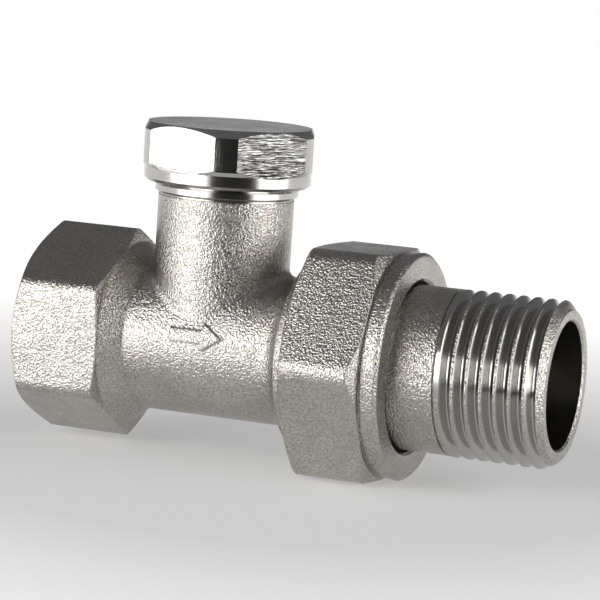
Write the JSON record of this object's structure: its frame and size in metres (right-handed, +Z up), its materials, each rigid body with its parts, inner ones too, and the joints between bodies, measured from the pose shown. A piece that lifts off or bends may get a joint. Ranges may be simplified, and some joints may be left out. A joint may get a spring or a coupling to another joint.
{
  "type": "lockshield valve",
  "caption": "Straight radiator lockshield valve with a hexagonal female inlet, a capped neck, a loose union nut and a male threaded tailpiece.",
  "frame": {"origin": "centre of the inlet end face, on the pipe axis", "axes": "+X along the pipe from the inlet to the tailpiece, +Z up the neck to the cap"},
  "size_m": [0.0701, 0.032, 0.0425],
  "materials": {
    "plated_forging": "nickel plate over a fine grained forging",
    "plated_machined": "nickel plate over turned brass",
    "bare_brass": "turned brass",
    "black_rubber": "moulded black rubber",
    "white_plastic": "low friction white plastic",
    "spring_steel": "spring steel",
    "fibre": "red fibre sealing sheet"
  },
  "bodies": {
    "housing": {"body": "plated_forging", "bonnet": "plated_machined", "bonnet_seal": "fibre"},
    "plug": {"plug": "bare_brass", "plug_clip": "spring_steel", "plug_seal": "black_rubber", "plug_washer": "bare_brass", "plug_screw": "bare_brass"},
    "spindle": {"spindle": "bare_brass", "spindle_o_ring_lower": "black_rubber", "spindle_o_ring_upper": "black_rubber", "glide_ring": "white_plastic"},
    "cap_gasket": {"cap_gasket": "fibre"},
    "cap": {"cap": "plated_machined"},
    "tailpiece": {"tailpiece": "plated_machined", "tail_o_ring": "black_rubber"},
    "union_nut": {"union_nut": "plated_forging"}
  },
  "joints": [
    {"name": "plug_lift", "type": "slide", "parent": "housing", "child": "plug", "axis": [0, 0, 1], "range_m": [0, 0.003]},
    {"name": "spindle_turn", "type": "hinge", "parent": "plug", "child": "spindle", "pos_m": [0.0236, 0, 0.012], "axis": [0, 0, 1], "range_deg": [0, 1080]},
    {"name": "cap_rise", "type": "slide", "parent": "housing", "child": "cap_gasket", "axis": [0, 0, 1], "range_m": [0, 0.006]},
    {"name": "cap_turn", "type": "hinge", "parent": "cap_gasket", "child": "cap", "pos_m": [0.0236, 0, 0.024], "axis": [0, 0, 1], "range_deg": [0, 2160]},
    {"name": "union_part", "type": "slide", "parent": "housing", "child": "tailpiece", "axis": [1, 0, 0], "range_m": [0, 0.0075]},
    {"name": "nut_turn", "type": "hinge", "parent": "tailpiece", "child": "union_nut", "pos_m": [0.044, 0, 0], "axis": [1, 0, 0], "range_deg": [0, 1488.43]}
  ],
  "couplings": [
    {"joint": "spindle_turn", "follows": "plug_lift", "rad_per_m": 6283.2},
    {"joint": "cap_turn", "follows": "cap_rise", "rad_per_m": 6283.2},
    {"joint": "nut_turn", "follows": "union_part", "rad_per_m": 3463.7}
  ]
}
